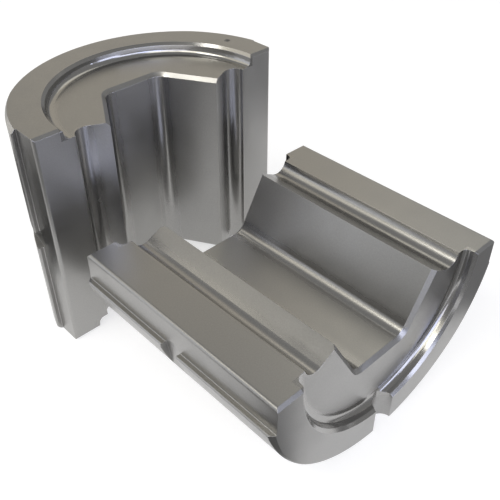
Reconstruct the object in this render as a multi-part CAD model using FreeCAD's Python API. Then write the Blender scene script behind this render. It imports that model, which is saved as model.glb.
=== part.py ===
import FreeCAD, Part
import math
import os

# Crimping die made of two equal half dies, in millimetres.
# A half die is drawn with its axis along Z from one end face to the other,
# its parting face on the plane Y = 0 and its body on the side of positive Y.

V = FreeCAD.Vector
X_AXIS = V(1, 0, 0)
Z_AXIS = V(0, 0, 1)

# Whole half die
DIE_LENGTH = 31.75
SEAT_RADIUS = 20.0
# The centre of the rounded back lies this far in front of the parting face.
SEAT_CENTRE_OFFSET = 1.25
BODY_HEIGHT = SEAT_RADIUS - SEAT_CENTRE_OFFSET

# Lip at both sides of the back, with a bevelled edge
SIDE_FLAT_HEIGHT = 3.65
LIP_BEVEL = 0.15
LIP_Y = SIDE_FLAT_HEIGHT + LIP_BEVEL
LIP_X = math.sqrt(SEAT_RADIUS**2 - (LIP_Y + SEAT_CENTRE_OFFSET) ** 2)

# Side flat between the parting face and the lip, set back from the lip's edge
LIP_STEP = 0.7
PARTING_HALF_WIDTH = LIP_X - LIP_STEP
PARTING_CORNER_RADIUS = 0.45
SIDE_STEP_FILLET = 0.1
END_BREAK = 0.35

# Lead chamfer at 45 degrees, turned about the die axis: deepest at the lip, it runs out on the back
LEAD_DEPTH = 0.56
LEAD_RADIUS = math.hypot(LIP_X, LIP_Y) - LEAD_DEPTH

# Hexagonal crimping cavity, half of it in each half die
HEX_ACROSS_FLATS = 14.7
FLAT_DISTANCE = HEX_ACROSS_FLATS / 2
RIDGE_X = FLAT_DISTANCE / math.cos(math.radians(30))
HEX_CORNER_RADIUS = 1.6
CAVITY_MOUTH_CHAMFER = 0.5

# Relief groove beside each side of the cavity
RELIEF_WIDTH = 4.8
RELIEF_EDGE = RIDGE_X + RELIEF_WIDTH
RELIEF_DEPTH = 1.35
RELIEF_RADIUS = 1.65

# Round recess turned into both end faces: a bevelled edge, a steep wall and a hollow foot
RIM_WIDTH = 3.6
RIM_RADIUS = BODY_HEIGHT - RIM_WIDTH
RIM_BEVEL = 0.38
RECESS_WALL_LEAN = 0.14
RECESS_FOOT_RADIUS = 0.8
RECESS_DEPTH = 1.55

# Half-round notch through the rim of one end, in the middle of the back
NOTCH_RADIUS = 1.6
NOTCH_START = RIM_RADIUS - 1.95

# Small cone pressed into the rim of the other end by a hardness test
TEST_MARK_RADIUS = 0.45
TEST_MARK_DEPTH = 0.26
TEST_MARK_DISTANCE = (RIM_RADIUS + BODY_HEIGHT) / 2 + 0.25
TEST_MARK_ANGLE_DEG = 21

# Catch slot through the lip at half length, on both sides, a little deeper than the side flat
CATCH_WIDTH = 3.2
CATCH_TOP = SIDE_FLAT_HEIGHT - 0.7
CATCH_FLOOR = PARTING_HALF_WIDTH - 0.1
CATCH_LEAN_DEG = 9.5

# How the two halves stand
HALVES_GAP = 6.3
SIDE_SHIFT = 0.75

# How far a cutting tool reaches past the surface that it cuts
OVERSHOOT = 3.0
# Points closer than this count as touching.
TOLERANCE = 1e-5


def rounded_path(corners):
    """Edges through (x, y, radius) corners; a radius of 0 keeps a corner sharp."""
    points = [V(x, y, 0) for x, y, _ in corners]
    edges = []
    start = points[0]
    for index in range(1, len(corners) - 1):
        corner = points[index]
        radius = corners[index][2]
        if radius == 0:
            edges.append(Part.makeLine(start, corner))
            start = corner
            continue
        back = (points[index - 1] - corner).normalize()
        ahead = (points[index + 1] - corner).normalize()
        half_angle = back.getAngle(ahead) / 2
        reach = radius / math.tan(half_angle)
        inward = (back + ahead).normalize()
        middle = corner + inward * (radius / math.sin(half_angle) - radius)
        arc_start = corner + back * reach
        arc_end = corner + ahead * reach
        edges.append(Part.makeLine(start, arc_start))
        edges.append(Part.Arc(arc_start, middle, arc_end).toShape())
        start = arc_end
    edges.append(Part.makeLine(start, points[-1]))
    return edges


def prism(edges, z_low, z_high):
    """Solid with the closed outline between two heights."""
    face = Part.Face(Part.Wire(Part.__sortEdges__(edges)))
    face.translate(V(0, 0, z_low))
    return face.extrude(V(0, 0, z_high - z_low))


def turned(edges):
    """Solid turned about the die axis from an outline in radius and height."""
    face = Part.Face(Part.Wire(Part.__sortEdges__(edges)))
    face.rotate(V(0, 0, 0), X_AXIS, 90)
    return face.revolve(V(0, 0, 0), Z_AXIS, 360)


def mirrored(shape):
    """The same shape on the other side of the die's middle plane."""
    return shape.mirror(V(0, 0, 0), X_AXIS)


def at_other_end(shape):
    """The same shape at the opposite end of the half die."""
    return shape.mirror(V(0, 0, DIE_LENGTH / 2), Z_AXIS)


def blank():
    """Half round bar with flat sides, a step and a bevelled lip."""
    side = [
        (PARTING_HALF_WIDTH, 0, PARTING_CORNER_RADIUS),
        (PARTING_HALF_WIDTH, SIDE_FLAT_HEIGHT, SIDE_STEP_FILLET),
        (LIP_X - LIP_BEVEL, SIDE_FLAT_HEIGHT, 0),
        (LIP_X, LIP_Y, 0),
    ]
    other_side = [(-x, y, radius) for x, y, radius in reversed(side)]
    edges = rounded_path([(0, 0, 0)] + side)
    edges.append(Part.Arc(V(LIP_X, LIP_Y, 0), V(0, BODY_HEIGHT, 0), V(-LIP_X, LIP_Y, 0)).toShape())
    edges += rounded_path(other_side + [(0, 0, 0)])
    return prism(edges, 0, DIE_LENGTH)


def end_edges(shape, heights, keep):
    """Edges that lie in one of the heights and whose middle passes the test."""
    found = []
    for edge in shape.Edges:
        box = edge.BoundBox
        flat = any(max(abs(box.ZMin - z), abs(box.ZMax - z)) < TOLERANCE for z in heights)
        middle = edge.valueAt((edge.FirstParameter + edge.LastParameter) / 2)
        if flat and keep(middle):
            found.append(edge)
    return found


def end_break():
    """Cutter for the broken edge between the parting face and the end face at height 0."""
    corners = [
        V(-SEAT_RADIUS, END_BREAK + OVERSHOOT, -OVERSHOOT),
        V(-SEAT_RADIUS, -OVERSHOOT, END_BREAK + OVERSHOOT),
        V(-SEAT_RADIUS, -OVERSHOOT, -OVERSHOOT),
    ]
    face = Part.Face(Part.makePolygon(corners + corners[:1]))
    return face.extrude(V(2 * SEAT_RADIUS, 0, 0))


def with_broken_ends(body):
    """Break both end edges of the parting face, then turn the lead chamfers."""
    cutter = end_break()
    body = body.cut(cutter)
    body = body.cut(at_other_end(cutter))
    lead = SEAT_RADIUS - LEAD_RADIUS
    outline = [
        (0, 0, 0),
        (LEAD_RADIUS, 0, 0),
        (LEAD_RADIUS + lead, lead, 0),
        (LEAD_RADIUS + lead, DIE_LENGTH - lead, 0),
        (LEAD_RADIUS, DIE_LENGTH, 0),
        (0, DIE_LENGTH, 0),
        (0, 0, 0),
    ]
    return body.common(turned(rounded_path(outline)))


def end_recess():
    """Cutter for the round recess in the end face at height 0."""
    wall_top = RIM_RADIUS - RIM_BEVEL
    return turned(rounded_path([
        (0, -OVERSHOOT, 0),
        (RIM_RADIUS + OVERSHOOT, -OVERSHOOT, 0),
        (wall_top, RIM_BEVEL, 0),
        (wall_top - RECESS_WALL_LEAN, RECESS_DEPTH, RECESS_FOOT_RADIUS),
        (0, RECESS_DEPTH, 0),
        (0, -OVERSHOOT, 0),
    ]))


def cavity():
    """Cutter for the half hexagon and the relief groove on both of its sides."""
    bottom_x = FLAT_DISTANCE * math.tan(math.radians(30))
    # Relief groove: an arc from the parting face, then a slope up to the ridge.
    centre_y = RELIEF_DEPTH - RELIEF_RADIUS
    centre_x = RELIEF_EDGE - math.sqrt(RELIEF_RADIUS**2 - centre_y**2)
    to_centre = V(centre_x - RIDGE_X, centre_y, 0)
    slope_angle = math.atan2(to_centre.y, to_centre.x) + math.asin(RELIEF_RADIUS / to_centre.Length)
    slope_length = math.sqrt(to_centre.Length**2 - RELIEF_RADIUS**2)
    groove_start = V(RELIEF_EDGE, 0, 0)
    groove_bottom = V(centre_x, RELIEF_DEPTH, 0)
    ridge = V(RIDGE_X, 0, 0)
    groove_end = ridge + V(math.cos(slope_angle), math.sin(slope_angle), 0) * slope_length
    groove = [
        Part.Arc(groove_start, groove_bottom, groove_end).toShape(),
        Part.makeLine(groove_end, ridge),
    ]
    hexagon = rounded_path([
        (RIDGE_X, 0, 0),
        (bottom_x, FLAT_DISTANCE, HEX_CORNER_RADIUS),
        (-bottom_x, FLAT_DISTANCE, HEX_CORNER_RADIUS),
        (-RIDGE_X, 0, 0),
    ])
    top = rounded_path([
        (RELIEF_EDGE, 0, 0),
        (RELIEF_EDGE, -OVERSHOOT, 0),
        (-RELIEF_EDGE, -OVERSHOOT, 0),
        (-RELIEF_EDGE, 0, 0),
    ])
    edges = groove + hexagon + [mirrored(edge) for edge in groove] + top
    return prism(edges, -OVERSHOOT, DIE_LENGTH + OVERSHOOT)


def in_cavity(point):
    """Whether a point lies on the half hexagon's own wall."""
    flank_x = RIDGE_X - point.y * math.tan(math.radians(30))
    return point.y > 0 and abs(point.x) < flank_x + TOLERANCE


def rim_notch():
    """Cutter for the half-round notch, tangent to the recess floor."""
    centre = V(0, NOTCH_START, RECESS_DEPTH - NOTCH_RADIUS)
    return Part.makeCylinder(NOTCH_RADIUS, SEAT_RADIUS, centre, V(0, 1, 0))


def test_mark():
    """Cutter for the hardness test mark: a cone that widens outwards through the end face."""
    angle = math.radians(TEST_MARK_ANGLE_DEG)
    reach = TEST_MARK_DEPTH + OVERSHOOT
    tip = V(
        TEST_MARK_DISTANCE * math.cos(angle),
        TEST_MARK_DISTANCE * math.sin(angle),
        DIE_LENGTH - TEST_MARK_DEPTH,
    )
    return Part.makeCone(0, TEST_MARK_RADIUS * reach / TEST_MARK_DEPTH, reach, tip, Z_AXIS)


def catch_slot():
    """Cutter for the slot in the lip: round at the top, open towards the back."""
    radius = CATCH_WIDTH / 2
    low = V(CATCH_FLOOR, CATCH_TOP + radius, DIE_LENGTH / 2)
    round_end = Part.makeCylinder(radius, OVERSHOOT, low, X_AXIS)
    straight = Part.makeBox(OVERSHOOT, BODY_HEIGHT, CATCH_WIDTH, low - V(0, 0, radius))
    slot = round_end.fuse(straight).removeSplitter()
    slot.rotate(V(CATCH_FLOOR, CATCH_TOP, 0), Z_AXIS, CATCH_LEAN_DEG)
    return slot


def half_die():
    """One half die in its own frame."""
    body = with_broken_ends(blank())
    recess = end_recess()
    body = body.cut(recess)
    body = body.cut(at_other_end(recess))
    body = body.cut(cavity())
    mouths = end_edges(body, (RECESS_DEPTH, DIE_LENGTH - RECESS_DEPTH), in_cavity)
    body = body.makeChamfer(CAVITY_MOUTH_CHAMFER, mouths)
    body = body.cut(rim_notch())
    body = body.cut(test_mark())
    slot = catch_slot()
    body = body.cut(slot)
    body = body.cut(mirrored(slot))
    return body.removeSplitter()


def standing(half):
    """Stand a half die on one end behind the middle of the footprint."""
    depth = DIE_LENGTH + HALVES_GAP + BODY_HEIGHT
    placed = half.copy()
    placed.translate(V(-SIDE_SHIFT / 2, depth / 2 - BODY_HEIGHT, 0))
    return placed


def lying(half):
    """Lay a half die on its rounded back, parting face up, in front of the other."""
    depth = DIE_LENGTH + HALVES_GAP + BODY_HEIGHT
    placed = half.copy()
    placed.rotate(V(0, 0, 0), X_AXIS, -90)
    placed.translate(V(SIDE_SHIFT / 2, -depth / 2, BODY_HEIGHT))
    return placed


def export(shape, name):
    """Write one solid and print its size and state."""
    solid = shape.Solids[0]
    box = solid.BoundBox
    print(name, len(shape.Solids), "solid, valid", solid.isValid(), "volume", round(solid.Volume, 1))
    print("  low", [round(v, 3) for v in (box.XMin, box.YMin, box.ZMin)])
    print("  high", [round(v, 3) for v in (box.XMax, box.YMax, box.ZMax)])
    solid.exportStep(os.path.join("parts", name + ".step"))


os.makedirs("parts", exist_ok=True)
die = half_die()
export(standing(die), "standing_half")
export(lying(die), "lying_half")
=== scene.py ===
"""Looks of the crimping die: two equal half dies of satin steel.

One half stands on its end, the other lies in front of it on its rounded back. Every mesh is in
metres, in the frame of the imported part, and rides on its one body.
"""

import logging
import math
from dataclasses import dataclass, field
from enum import Enum

import bmesh
import bpy
import numpy as np
from mathutils import Euler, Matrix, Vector


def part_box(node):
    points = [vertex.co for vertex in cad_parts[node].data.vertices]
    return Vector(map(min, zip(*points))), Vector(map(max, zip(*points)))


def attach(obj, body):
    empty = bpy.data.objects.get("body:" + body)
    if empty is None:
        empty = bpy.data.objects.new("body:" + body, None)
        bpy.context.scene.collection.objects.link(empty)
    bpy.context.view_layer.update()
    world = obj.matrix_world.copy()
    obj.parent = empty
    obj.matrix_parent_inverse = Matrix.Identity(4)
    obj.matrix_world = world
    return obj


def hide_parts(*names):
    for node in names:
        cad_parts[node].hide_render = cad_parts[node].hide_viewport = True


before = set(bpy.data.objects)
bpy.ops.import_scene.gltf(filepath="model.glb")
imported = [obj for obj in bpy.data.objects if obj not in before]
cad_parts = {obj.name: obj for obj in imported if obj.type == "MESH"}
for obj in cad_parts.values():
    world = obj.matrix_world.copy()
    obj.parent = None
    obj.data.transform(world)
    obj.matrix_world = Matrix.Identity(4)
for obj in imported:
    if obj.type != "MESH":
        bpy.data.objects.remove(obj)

Socket = bpy.types.NodeSocket

LOG = logging.getLogger("crimping_die")
MM = 0.001  # one millimetre in metres
BODY = "root"
FRAME_ATTRIBUTE = "die_frame"
NORMAL_ATTRIBUTE = "solid_normal"
WELD_DISTANCE = 0.002  # corners of triangles closer than this are one, in millimetres
SENSOR_WIDTH = 36.0  # the camera's sensor, in millimetres
CLIP = (0.001, 20.0)  # where the camera's view starts and ends, in metres


class Placement(Enum):
    """How a half die is placed: on one end, or on its rounded back."""

    STANDING = "standing"
    LYING = "lying"


def new_group(name: str, inputs: dict[str, tuple[str, float]],
              outputs: dict[str, str]) -> bpy.types.NodeTree:
    """Make an empty shader node group with named sockets.

    Args:
        name: the group's name.
        inputs: socket name to its type and default value.
        outputs: socket name to its type.

    Returns:
        The group, with its input and output nodes in place.
    """
    group = bpy.data.node_groups.new(name, "ShaderNodeTree")
    for label, (kind, value) in inputs.items():
        socket = group.interface.new_socket(label, in_out="INPUT", socket_type=kind)
        if kind == "NodeSocketFloat":
            socket.default_value = value
    for label, kind in outputs.items():
        group.interface.new_socket(label, in_out="OUTPUT", socket_type=kind)
    group.nodes.new("NodeGroupInput").name = "in"
    group.nodes.new("NodeGroupOutput").name = "out"
    return group


def new_object(name: str, data: bpy.types.ID) -> bpy.types.Object:
    """Make an object and put it in the scene.

    Args:
        name: the object's name.
        data: its mesh, lamp or camera.

    Returns:
        The object.
    """
    made = bpy.data.objects.new(name, data)
    bpy.context.scene.collection.objects.link(made)
    return made


def grey(value: float) -> tuple[float, float, float, float]:
    """Give a grey as red, green, blue and alpha.

    Args:
        value: how bright it is, where 1 is white.

    Returns:
        The colour.
    """
    return value, value, value, 1.0


@dataclass
class Wiring:
    """Short calls that add and join the nodes of one tree.

    Attributes:
        tree: the material's or group's node tree.
    """

    tree: bpy.types.NodeTree

    def add(self, kind: str, **values: object) -> bpy.types.Node:
        """Add a node and set its own properties.

        Args:
            kind: the node's type name.
            values: properties of the node by name.

        Returns:
            The new node.
        """
        node = self.tree.nodes.new(kind)
        for name, value in values.items():
            setattr(node, name, value)
        return node

    def put(self, source: object, target: Socket) -> None:
        """Join an output to an input, or set the input to a plain value.

        Args:
            source: an output, or the value.
            target: the input.
        """
        if isinstance(source, Socket):
            self.tree.links.new(source, target)
        else:
            target.default_value = source

    def math(self, operation: str, *values: object, clamp: bool = False) -> Socket:
        """Add a Math node.

        Args:
            operation: the node's operation.
            values: a socket or a number for each input.
            clamp: whether the result stays between 0 and 1.

        Returns:
            The node's output.
        """
        node = self.add("ShaderNodeMath", operation=operation, use_clamp=clamp)
        for value, target in zip(values, node.inputs):
            self.put(value, target)
        return node.outputs[0]

    def noise(self, vector: Socket, scale: float | Socket, detail: float) -> Socket:
        """Add a noise texture read at a vector.

        Args:
            vector: where the noise is read.
            scale: cells in a unit of the vector.
            detail: octaves of the noise.

        Returns:
            The noise's value, around one half.
        """
        node = self.add("ShaderNodeTexNoise")
        self.put(vector, node.inputs["Vector"])
        self.put(scale, node.inputs["Scale"])
        self.put(detail, node.inputs["Detail"])
        return node.outputs["Fac"]

    def length(self, across: Socket, along: Socket) -> Socket:
        """Add the nodes for the length of a flat vector.

        Args:
            across: its first part.
            along: its second part.

        Returns:
            The length.
        """
        squares = (self.math("MULTIPLY", part, part) for part in (across, along))
        return self.math("SQRT", self.math("ADD", *squares))

    def ramp(self, value: Socket, start: float, end: float, low: float = 0.0,
             high: float = 1.0, smooth: bool = False) -> Socket:
        """Add a Map Range node.

        Args:
            value: what is mapped.
            start: the value that gives the low result.
            end: the value that gives the high result.
            low: the result at the start.
            high: the result at the end.
            smooth: whether the ramp starts and ends softly.

        Returns:
            The result.
        """
        kind = "SMOOTHSTEP" if smooth else "LINEAR"
        node = self.add("ShaderNodeMapRange", interpolation_type=kind)
        self.put(value, node.inputs["Value"])
        ends = {"From Min": start, "From Max": end, "To Min": low, "To Max": high}
        for name, number in ends.items():
            self.put(number, node.inputs[name])
        return node.outputs["Result"]


def new_material(name: str) -> tuple[bpy.types.Material, Wiring, Socket]:
    """Make a material with nothing in its tree but its output.

    Args:
        name: the material's name.

    Returns:
        The material, the wiring of its tree and the input for its surface.
    """
    material = bpy.data.materials.new(name)
    material.use_nodes = True
    material.node_tree.nodes.clear()
    wiring = Wiring(material.node_tree)
    surface = wiring.add("ShaderNodeOutputMaterial").inputs["Surface"]
    return material, wiring, surface


@dataclass(frozen=True)
class Grain:
    """Grain of tumbled steel: a fine speckle, a coarser mottle and faint rings from the tool.

    Attributes:
        size: size of the speckle, in millimetres.
        detail: octaves of the speckle.
        harshness: how strong the speckle's finer octaves are.
        mottle_scale: cells of the mottle in a millimetre.
        mottle_detail: octaves of the mottle.
        line_pitch: distance of the rings, in millimetres.
    """

    size: float = 0.16
    detail: float = 2.0
    harshness: float = 0.7
    mottle_scale: float = 0.35
    mottle_detail: float = 3.0
    line_pitch: float = 0.1

    def group(self) -> bpy.types.NodeTree:
        """Build the shader group. The rings are noise read at the distance from the axis.

        Returns:
            The group. Its vector is the half die's own frame in millimetres.
        """
        group = new_group(
            "SteelGrain",
            {
                "Frame": ("NodeSocketVector", 0.0),
                "Grain size": ("NodeSocketFloat", self.size),
                "Line pitch": ("NodeSocketFloat", self.line_pitch),
            },
            dict.fromkeys(("Speckle", "Mottle", "Lines"), "NodeSocketFloat"),
        )
        wiring = Wiring(group)
        source, target = group.nodes["in"].outputs, group.nodes["out"].inputs
        fine = wiring.math("DIVIDE", 1.0, source["Grain size"])
        speckle = wiring.noise(source["Frame"], fine, self.detail)
        wiring.put(self.harshness, speckle.node.inputs["Roughness"])
        mottle = wiring.noise(source["Frame"], self.mottle_scale, self.mottle_detail)
        parts = wiring.add("ShaderNodeSeparateXYZ")
        wiring.put(source["Frame"], parts.inputs[0])
        rings = wiring.add("ShaderNodeTexNoise", noise_dimensions="1D")
        wiring.put(wiring.length(parts.outputs[0], parts.outputs[1]), rings.inputs["W"])
        wiring.put(wiring.math("DIVIDE", 1.0, source["Line pitch"]), rings.inputs["Scale"])
        wiring.put(speckle, target["Speckle"])
        wiring.put(mottle, target["Mottle"])
        wiring.put(rings.outputs["Fac"], target["Lines"])
        return group


@dataclass(frozen=True)
class Section:
    """Where round tools have left the steel smooth, in the half die's own frame and in millimetres.

    Attributes:
        corner_centre: across and height of the centre of the hexagon's rounded corner.
        corner_radius: radius of that corner.
        groove_centre: across and height of the centre of the relief groove's arc.
        groove_radius: radius of that arc.
        ring: inner and outer radius of the recess's turned foot and wall.
        ring_depth: how far the ring reaches from an end face.
        milled_share: how smooth the milled corner and groove are, where the turned ring is 1.
        fade: over what distance a smooth surface turns into its flat neighbour.
        length: length of the half die.
        mark: across and height of the hardness mark's middle, in the end face at full length.
        mark_radius: radius of that mark.
        mark_fade: shares of that radius where the mark starts and where it is full.
    """

    corner_centre: tuple[float, float]
    corner_radius: float
    groove_centre: tuple[float, float]
    groove_radius: float
    ring: tuple[float, float]
    ring_depth: float
    milled_share: float
    fade: float
    length: float
    mark: tuple[float, float]
    mark_radius: float
    mark_fade: tuple[float, float] = (1.1, 0.8)

    def group(self) -> bpy.types.NodeTree:
        """Build the masks of the surfaces that round tools have left smooth, and of the mark, where
        painted shade darkens the steel.

        Returns:
            The group. Its vector is the half die's own frame in millimetres.
        """
        group = new_group("SmoothParts", {"Frame": ("NodeSocketVector", 0.0)},
                          dict.fromkeys(("Mask", "Mark"), "NodeSocketFloat"))
        wiring = Wiring(group)
        parts = wiring.add("ShaderNodeSeparateXYZ")
        wiring.put(group.nodes["in"].outputs["Frame"], parts.inputs[0])
        along = parts.outputs[2]
        across = wiring.math("ABSOLUTE", parts.outputs[0])
        height = parts.outputs[1]
        masks = []
        for centre, radius in ((self.corner_centre, self.corner_radius),
                               (self.groove_centre, self.groove_radius)):
            distance = wiring.length(wiring.math("SUBTRACT", across, centre[0]),
                                     wiring.math("SUBTRACT", height, centre[1]))
            masks.append(wiring.ramp(distance, radius + self.fade, radius,
                                     high=self.milled_share, smooth=True))
        inner, outer = self.ring
        distance = wiring.length(across, height)
        ring = wiring.ramp(distance, inner - self.fade, inner + self.fade, smooth=True)
        ring = wiring.math("MULTIPLY", ring, wiring.math("LESS_THAN", distance, outer))
        half = self.length / 2
        from_middle = wiring.math("ABSOLUTE", wiring.math("SUBTRACT", along, half))
        at_end = wiring.math("GREATER_THAN", from_middle, half - self.ring_depth)
        ring = wiring.math("MULTIPLY", ring, at_end)
        milled = wiring.math("MAXIMUM", *masks)
        wiring.put(wiring.math("MAXIMUM", milled, ring), group.nodes["out"].inputs["Mask"])
        distance = wiring.length(wiring.math("SUBTRACT", parts.outputs[0], self.mark[0]),
                                 wiring.math("SUBTRACT", height, self.mark[1]))
        start, end = (self.mark_radius * share for share in self.mark_fade)
        mark = wiring.ramp(distance, start, end, smooth=True)
        in_end = wiring.math("GREATER_THAN", along, self.length - self.mark_radius)
        wiring.put(wiring.math("MULTIPLY", mark, in_end), group.nodes["out"].inputs["Mark"])
        return group


@dataclass(frozen=True)
class EdgeWearAndSheen:
    """Rubbed edges with a painted highlight: where a normal rounded over a small radius leaves the
    true normal.

    Attributes:
        reach: how far the rubbing reaches from an edge, in millimetres.
        gain: how fast the mask grows with the bend of the normal.
        strength: the mask's greatest value.
        samples: rays with which the rounded normal is found.
    """

    reach: float = 0.07
    gain: float = 6.0
    strength: float = 0.5
    samples: int = 4

    def group(self) -> bpy.types.NodeTree:
        """Build the shader group.

        Returns:
            The group, with the rounded normal and a mask of the rubbed edges, for their wear and
            painted highlight.
        """
        group = new_group(
            "EdgeWearAndSheen",
            {
                "Reach": ("NodeSocketFloat", self.reach * MM),
                "Strength": ("NodeSocketFloat", self.strength),
            },
            {"Normal": "NodeSocketVector", "Mask": "NodeSocketFloat"},
        )
        wiring = Wiring(group)
        source, target = group.nodes["in"].outputs, group.nodes["out"].inputs
        bevel = wiring.add("ShaderNodeBevel", samples=self.samples)
        wiring.put(source["Reach"], bevel.inputs["Radius"])
        true_normal = wiring.add("ShaderNodeNewGeometry")
        alike = wiring.add("ShaderNodeVectorMath", operation="DOT_PRODUCT")
        wiring.put(bevel.outputs[0], alike.inputs[0])
        wiring.put(true_normal.outputs["Normal"], alike.inputs[1])
        bend = wiring.math("SUBTRACT", 1.0, alike.outputs["Value"])
        sharp = wiring.math("MULTIPLY", bend, self.gain, clamp=True)
        wiring.put(bevel.outputs[0], target["Normal"])
        wiring.put(wiring.math("MULTIPLY", sharp, source["Strength"], clamp=True), target["Mask"])
        return group


@dataclass(frozen=True)
class SatinSteel:
    """Satin finish of machined and tumbled steel.

    Attributes:
        name: the material's name.
        colour: the steel's own colour.
        edge_wear_and_sheen_colour: the lighter colour of rubbed edges, partly real wear and partly
            a painted highlight.
        roughness: the mean roughness.
        roughness_spread: how far the mottle moves the roughness up and down.
        turned_roughness: the mean roughness of the turned ring.
        speckle_range: values of the speckle at which the steel is darkest and brightest.
        speckle_depth: how far the speckle moves the steel's brightness, as a share of it.
        mark_shade_tone: painted shade in the hardness mark's hollow, its brightness as a share of
            the steel around it.
        speckle_relief: the speckle's share in the height of the bump.
        line_relief: the tool lines' share in that height.
        bump_strength: how strongly the bump shows.
        bump_depth: depth of the bump, in millimetres.
        grain: the speckle, mottle and tool lines.
        edges: the rubbed edges, with their wear and painted highlight.
    """

    name: str = "satin_steel"
    colour: tuple[float, float, float] = (0.355, 0.35, 0.34)
    edge_wear_and_sheen_colour: tuple[float, float, float] = (0.45, 0.445, 0.43)
    roughness: float = 0.34
    roughness_spread: float = 0.06
    turned_roughness: float = 0.17
    speckle_range: tuple[float, float] = (0.3, 0.7)
    speckle_depth: float = 0.06
    mark_shade_tone: float = 0.65
    speckle_relief: float = 0.6
    line_relief: float = 0.25
    bump_strength: float = 0.09
    bump_depth: float = 0.02
    grain: Grain = Grain()
    edges: EdgeWearAndSheen = EdgeWearAndSheen()

    def material(self, section: Section) -> bpy.types.Material:
        """Build the steel's material.

        Args:
            section: where round tools have left the steel smooth.

        Returns:
            The material.
        """
        material, wiring, surface = new_material(self.name)
        steel = wiring.add("ShaderNodeBsdfPrincipled")
        wiring.put(1.0, steel.inputs["Metallic"])
        place = wiring.add("ShaderNodeAttribute", attribute_name=FRAME_ATTRIBUTE).outputs["Vector"]
        grain = wiring.add("ShaderNodeGroup", node_tree=self.grain.group())
        edges = wiring.add("ShaderNodeGroup", node_tree=self.edges.group())
        turned = wiring.add("ShaderNodeGroup", node_tree=section.group())
        wiring.put(place, grain.inputs["Frame"])
        wiring.put(place, turned.inputs["Frame"])

        # Partly real wear, partly painted highlight: rubbed edges get a lighter colour than the
        # steel.
        wear_and_sheen_tint = wiring.add("ShaderNodeMix", data_type="RGBA")
        wiring.put(edges.outputs["Mask"], wear_and_sheen_tint.inputs["Factor"])
        wiring.put((*self.colour, 1.0), wear_and_sheen_tint.inputs["A"])
        wiring.put((*self.edge_wear_and_sheen_colour, 1.0), wear_and_sheen_tint.inputs["B"])
        depth = wiring.ramp(grain.outputs["Speckle"], *self.speckle_range,
                            1 - self.speckle_depth, 1 + self.speckle_depth)
        # Painted shade: the hardness mark's hollow is darkened in the steel's colour.
        mark_painted_shade = wiring.ramp(turned.outputs["Mark"], 0.0, 1.0, 1.0, self.mark_shade_tone)
        shade = wiring.add("ShaderNodeVectorMath", operation="SCALE")
        wiring.put(wear_and_sheen_tint.outputs["Result"], shade.inputs[0])
        wiring.put(wiring.math("MULTIPLY", depth, mark_painted_shade), shade.inputs["Scale"])
        wiring.put(shade.outputs["Vector"], steel.inputs["Base Color"])

        rough = wiring.ramp(grain.outputs["Mottle"], 0.0, 1.0,
                            self.roughness - self.roughness_spread,
                            self.roughness + self.roughness_spread)
        smooth = wiring.math("MULTIPLY", turned.outputs["Mask"],
                             1 - self.turned_roughness / self.roughness)
        rough = wiring.math("MULTIPLY", rough, wiring.math("SUBTRACT", 1.0, smooth))
        wiring.put(rough, steel.inputs["Roughness"])

        height = wiring.math(
            "ADD",
            wiring.math("MULTIPLY", grain.outputs["Speckle"], self.speckle_relief),
            wiring.math("MULTIPLY", grain.outputs["Lines"], self.line_relief),
        )
        bump = wiring.add("ShaderNodeBump")
        wiring.put(self.bump_strength, bump.inputs["Strength"])
        wiring.put(self.bump_depth * MM, bump.inputs["Distance"])
        wiring.put(height, bump.inputs["Height"])
        wiring.put(edges.outputs["Normal"], bump.inputs["Normal"])
        wiring.put(bump.outputs["Normal"], steel.inputs["Normal"])
        wiring.put(steel.outputs["BSDF"], surface)
        return material


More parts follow.
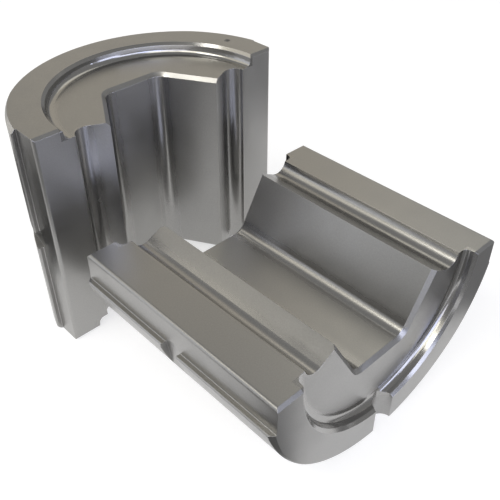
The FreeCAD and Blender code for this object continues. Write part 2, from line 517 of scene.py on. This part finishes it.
@dataclass
class HalfDie:
    """One half die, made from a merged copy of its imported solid.

    Attributes:
        node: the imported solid's name.
        piece: the name of the piece that stands for it.
        placement: how it stands in the row frame.
        body_height: height of its back over its parting face, in millimetres.
    """

    node: str
    piece: str
    placement: Placement
    body_height: float = 18.75

    def own_frame(self, points: np.ndarray) -> np.ndarray:
        """Turn points of the row frame into the half die's own frame.

        Its own z runs along the axis from one end, y away from the parting face, x across.

        Args:
            points: rows of x, y and z in metres.

        Returns:
            Rows of the half die's own x, y and z in millimetres.
        """
        low, high = (np.array(corner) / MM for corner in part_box(self.node))
        x, y, z = points.T / MM
        across = x - (low[0] + high[0]) / 2
        if self.placement is Placement.STANDING:
            parting = high[1] - self.body_height
            return np.stack([across, y - parting, z], axis=1)
        return np.stack([across, high[2] - z, y - low[1]], axis=1)

    def mesh(self) -> bpy.types.Mesh:
        """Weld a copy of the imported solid's triangles and give it back the solid's own normals.

        Returns:
            The closed mesh, with the half die's own frame as an attribute of its points.
        """
        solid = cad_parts[self.node].data
        normals = np.empty(len(solid.loops) * 3, np.float32)
        solid.corner_normals.foreach_get("vector", normals)
        mesh = solid.copy()
        mesh.name = self.piece
        kept = mesh.attributes.new(NORMAL_ATTRIBUTE, "FLOAT_VECTOR", "CORNER")
        kept.data.foreach_set("vector", normals)
        work = bmesh.new()
        work.from_mesh(mesh)
        bmesh.ops.remove_doubles(work, verts=work.verts, dist=WELD_DISTANCE * MM)
        work.to_mesh(mesh)
        work.free()
        normals = np.empty(len(mesh.loops) * 3, np.float32)
        mesh.attributes[NORMAL_ATTRIBUTE].data.foreach_get("vector", normals)
        mesh.attributes.remove(mesh.attributes[NORMAL_ATTRIBUTE])
        mesh.attributes.remove(mesh.attributes["custom_normal"])
        mesh.shade_smooth()
        mesh.normals_split_custom_set(normals.reshape(-1, 3))
        points = np.empty(len(mesh.vertices) * 3, np.float32)
        mesh.vertices.foreach_get("co", points)
        own = self.own_frame(points.reshape(-1, 3).astype(float)).astype(np.float32)
        attribute = mesh.attributes.new(FRAME_ATTRIBUTE, "FLOAT_VECTOR", "POINT")
        attribute.data.foreach_set("vector", own.ravel())
        return mesh

    def build(self, steel: bpy.types.Material) -> bpy.types.Object:
        """Make the piece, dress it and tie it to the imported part.

        Args:
            steel: the finish of the whole half.

        Returns:
            The piece.
        """
        piece = new_object(self.piece, self.mesh())
        piece.data.materials.clear()
        piece.data.materials.append(steel)
        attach(piece, BODY)
        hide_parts(self.node)
        return piece


@dataclass(frozen=True)
class Softbox:
    """One large soft lamp.

    Attributes:
        name: the lamp's name.
        azimuth: where it stands, in degrees from +Y towards +X.
        elevation: how high it stands, in degrees.
        width: its width, in metres.
        height: its height, in metres.
        glow: the brightness of its face in red, green and blue, where 1 is white.
        distance: how far it stands from the middle of the floor, in metres.
    """

    name: str
    azimuth: float
    elevation: float
    width: float
    height: float
    glow: tuple[float, float, float]
    distance: float = 0.6

    def build(self) -> bpy.types.Object:
        """Hang the lamp so that it faces the object.

        Returns:
            The lamp.
        """
        lamp = bpy.data.lights.new(self.name, "AREA")
        lamp.shape = "RECTANGLE"
        lamp.size, lamp.size_y = self.width, self.height
        peak = max(self.glow)
        # A flat lamp's face has the brightness of its power over its area and pi.
        lamp.energy = peak * math.pi * self.width * self.height
        lamp.color = tuple(value / peak for value in self.glow)
        holder = new_object(self.name, lamp)
        azimuth, elevation = math.radians(self.azimuth), math.radians(self.elevation)
        direction = Vector((
            math.sin(azimuth) * math.cos(elevation),
            math.cos(azimuth) * math.cos(elevation),
            math.sin(elevation),
        ))
        holder.location = direction * self.distance
        holder.rotation_euler = direction.to_track_quat("Z", "Y").to_euler()
        return holder


@dataclass(frozen=True)
class DarkCard:
    """Dark card that lies on the floor outside the frame and shows only in the steel's reflections.

    Attributes:
        name: the card's name.
        corners: its corners on the floor, in millimetres.
        tone: how dark it is, where 0 is black.
        height: how high it lies over the floor, in millimetres.
    """

    name: str
    corners: tuple[tuple[float, float], ...]
    tone: float = 0.02
    height: float = 0.3

    def build(self) -> bpy.types.Object:
        """Lay the card down.

        Returns:
            The card.
        """
        mesh = bpy.data.meshes.new(self.name)
        points = [(across * MM, along * MM, self.height * MM) for across, along in self.corners]
        mesh.from_pydata(points, [], [tuple(range(len(points)))])
        material, wiring, surface = new_material(self.name)
        paint = wiring.add("ShaderNodeBsdfDiffuse")
        wiring.put(grey(self.tone), paint.inputs["Color"])
        wiring.put(paint.outputs[0], surface)
        mesh.materials.append(material)
        card = new_object(self.name, mesh)
        card.visible_camera = False
        card.visible_diffuse = False
        card.visible_shadow = False
        return card


@dataclass
class Studio:
    """Pale floor, plain world, soft lamps and dark cards.

    Attributes:
        floor_reach: half the floor's side, in metres.
        floor_colour: the floor's own colour.
        floor_glow: what the camera and reflections see on top of it, so that it turns white.
        sky: the world's brightness.
        lamps: the soft lamps.
        cards: the dark cards.
    """

    floor_reach: float = 4.0
    floor_colour: float = 0.5
    floor_glow: float = 0.62
    sky: float = 0.37
    lamps: tuple[Softbox, ...] = (
        Softbox("front_softbox", 180.0, 27.0, 0.24, 0.24, (1.95, 2.07, 2.65)),
        Softbox("front_low_softbox", 161.0, 9.0, 0.24, 0.24, (1.95, 2.1, 2.85)),
        Softbox("front_strip", 205.0, 27.0, 0.24, 0.24, (2.14, 2.37, 3.5)),
        Softbox("front_left_softbox", 231.0, 27.0, 0.24, 0.24, (1.8, 1.79, 2.04)),
        Softbox("camera_right_softbox", 216.0, 47.0, 0.24, 0.24, (2.32, 2.27, 2.06)),
        Softbox("camera_left_softbox", 255.0, 47.0, 0.26, 0.26, (2.9, 2.8, 2.45)),
        Softbox("left_spot", 285.0, 55.0, 0.16, 0.16, (6.0, 5.9, 5.6)),
        Softbox("left_softbox", 288.0, 47.0, 0.24, 0.24, (0.7, 0.65, 0.5)),
        Softbox("left_low_softbox", 309.0, 18.0, 0.28, 0.4, (0.75, 0.78, 0.85)),
        Softbox("back_left_softbox", 324.0, 47.0, 0.24, 0.24, (0.95, 0.89, 0.75)),
        Softbox("back_low_softbox", 343.0, 10.0, 0.16, 0.16, (1.5, 1.45, 1.35)),
        Softbox("back_right_softbox", 38.0, 33.0, 0.42, 0.34, (0.36, 0.31, 0.22)),
        Softbox("right_softbox", 72.0, 47.0, 0.24, 0.24, (0.86, 0.83, 0.73)),
    )
    cards: tuple[DarkCard, ...] = (
        DarkCard(
            "left_card",
            ((-60.0, 26.0), (-26.5, 23.0), (-4.2, 62.0), (-30.0, 78.0), (-60.0, 62.0)),
        ),
        DarkCard(
            "front_card",
            ((-95.0, 47.0), (-39.7, -5.4), (1.6, -44.8), (-40.0, -110.0), (-110.0, -110.0)),
            tone=0.18,
        ),
        DarkCard(
            "right_card",
            ((3.0, -45.5), (60.0, -11.5), (110.0, 18.5), (110.0, -110.0), (-30.0, -110.0)),
            tone=0.3,
        ),
    )

    def floor(self) -> bpy.types.Object:
        """Lay the floor just under the object.

        Returns:
            The floor.
        """
        reach = self.floor_reach
        corners = [(-reach, -reach, 0), (reach, -reach, 0), (reach, reach, 0), (-reach, reach, 0)]
        mesh = bpy.data.meshes.new("floor")
        mesh.from_pydata(corners, [], [tuple(range(len(corners)))])
        material, wiring, surface = new_material("pale_floor")
        paint = wiring.add("ShaderNodeBsdfDiffuse")
        wiring.put(grey(self.floor_colour), paint.inputs["Color"])
        rays = wiring.add("ShaderNodeLightPath").outputs
        mirrored = wiring.math("MAXIMUM", rays["Is Glossy Ray"], rays["Is Transmission Ray"])
        seen = wiring.math("MAXIMUM", rays["Is Camera Ray"], mirrored)
        glow = wiring.add("ShaderNodeEmission")
        wiring.put(wiring.math("MULTIPLY", seen, self.floor_glow), glow.inputs["Strength"])
        both = wiring.add("ShaderNodeAddShader")
        wiring.put(paint.outputs[0], both.inputs[0])
        wiring.put(glow.outputs[0], both.inputs[1])
        wiring.put(both.outputs[0], surface)
        mesh.materials.append(material)
        floor = new_object("floor", mesh)
        return floor

    def world(self) -> None:
        """Give the world one plain pale brightness."""
        world = bpy.data.worlds.new("studio")
        world.use_nodes = True
        background = world.node_tree.nodes["Background"]
        background.inputs["Color"].default_value = grey(self.sky)
        background.inputs["Strength"].default_value = 1.0
        bpy.context.scene.world = world

    def build(self) -> None:
        """Set up the floor, the cards, the world and the lamps."""
        self.floor()
        for card in self.cards:
            card.build()
        self.world()
        for lamp in self.lamps:
            lamp.build()


@dataclass(frozen=True)
class PhotoCamera:
    """Camera at the photograph's place and angle.

    Attributes:
        place: where it stands, in millimetres.
        turn: its turn about x, y and z, in degrees.
        focal_pixels: its focal length in pixels of the photograph's frame.
        frame_pixels: width of the photograph's frame, in pixels.
    """

    place: tuple[float, float, float] = (-47.978, -56.235, 70.320)
    turn: tuple[float, float, float] = (51.3231, 0.1792, -43.4817)
    focal_pixels: float = 694.31
    frame_pixels: float = 500.0

    def build(self) -> bpy.types.Object:
        """Set the camera up and make it the scene's.

        Returns:
            The camera.
        """
        camera = bpy.data.cameras.new("photo_camera")
        camera.sensor_width = SENSOR_WIDTH
        camera.lens = SENSOR_WIDTH * self.focal_pixels / self.frame_pixels
        camera.clip_start, camera.clip_end = CLIP
        holder = new_object("photo_camera", camera)
        holder.location = Vector(self.place) * MM
        holder.rotation_euler = Euler([math.radians(angle) for angle in self.turn], "XYZ")
        bpy.context.scene.camera = holder
        return holder


@dataclass
class CrimpingDie:
    """The whole part: the two half dies in one steel.

    Attributes:
        steel: the finish of both halves.
        section: where round tools have left that steel smooth.
        halves: the half dies.
    """

    steel: SatinSteel = SatinSteel()
    section: Section = Section(
        corner_centre=(3.320, 5.75),
        corner_radius=1.6,
        groove_centre=(11.664, -0.3),
        groove_radius=1.65,
        ring=(13.6, 15.17),
        ring_depth=1.58,
        milled_share=0.5,
        fade=0.45,
        length=31.75,
        mark=(16.057, 6.164),
        mark_radius=0.45,
    )
    halves: list[HalfDie] = field(default_factory=lambda: [
        HalfDie("standing_half", "standing_half_steel", Placement.STANDING),
        HalfDie("lying_half", "lying_half_steel", Placement.LYING),
    ])

    def build(self) -> list[bpy.types.Object]:
        """Build both halves in the one finish.

        Returns:
            The two pieces.
        """
        steel = self.steel.material(self.section)
        return [half.build(steel) for half in self.halves]


def main() -> None:
    """Build the camera, the studio and the die."""
    logging.basicConfig(level=logging.INFO, format="%(name)s: %(message)s")
    bpy.context.scene.view_settings.view_transform = "Standard"
    PhotoCamera().build()
    Studio().build()
    for piece in CrimpingDie().build():
        LOG.info("%s: %d faces", piece.name, len(piece.data.polygons))


if __name__ == "__main__":
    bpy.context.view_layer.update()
    main()
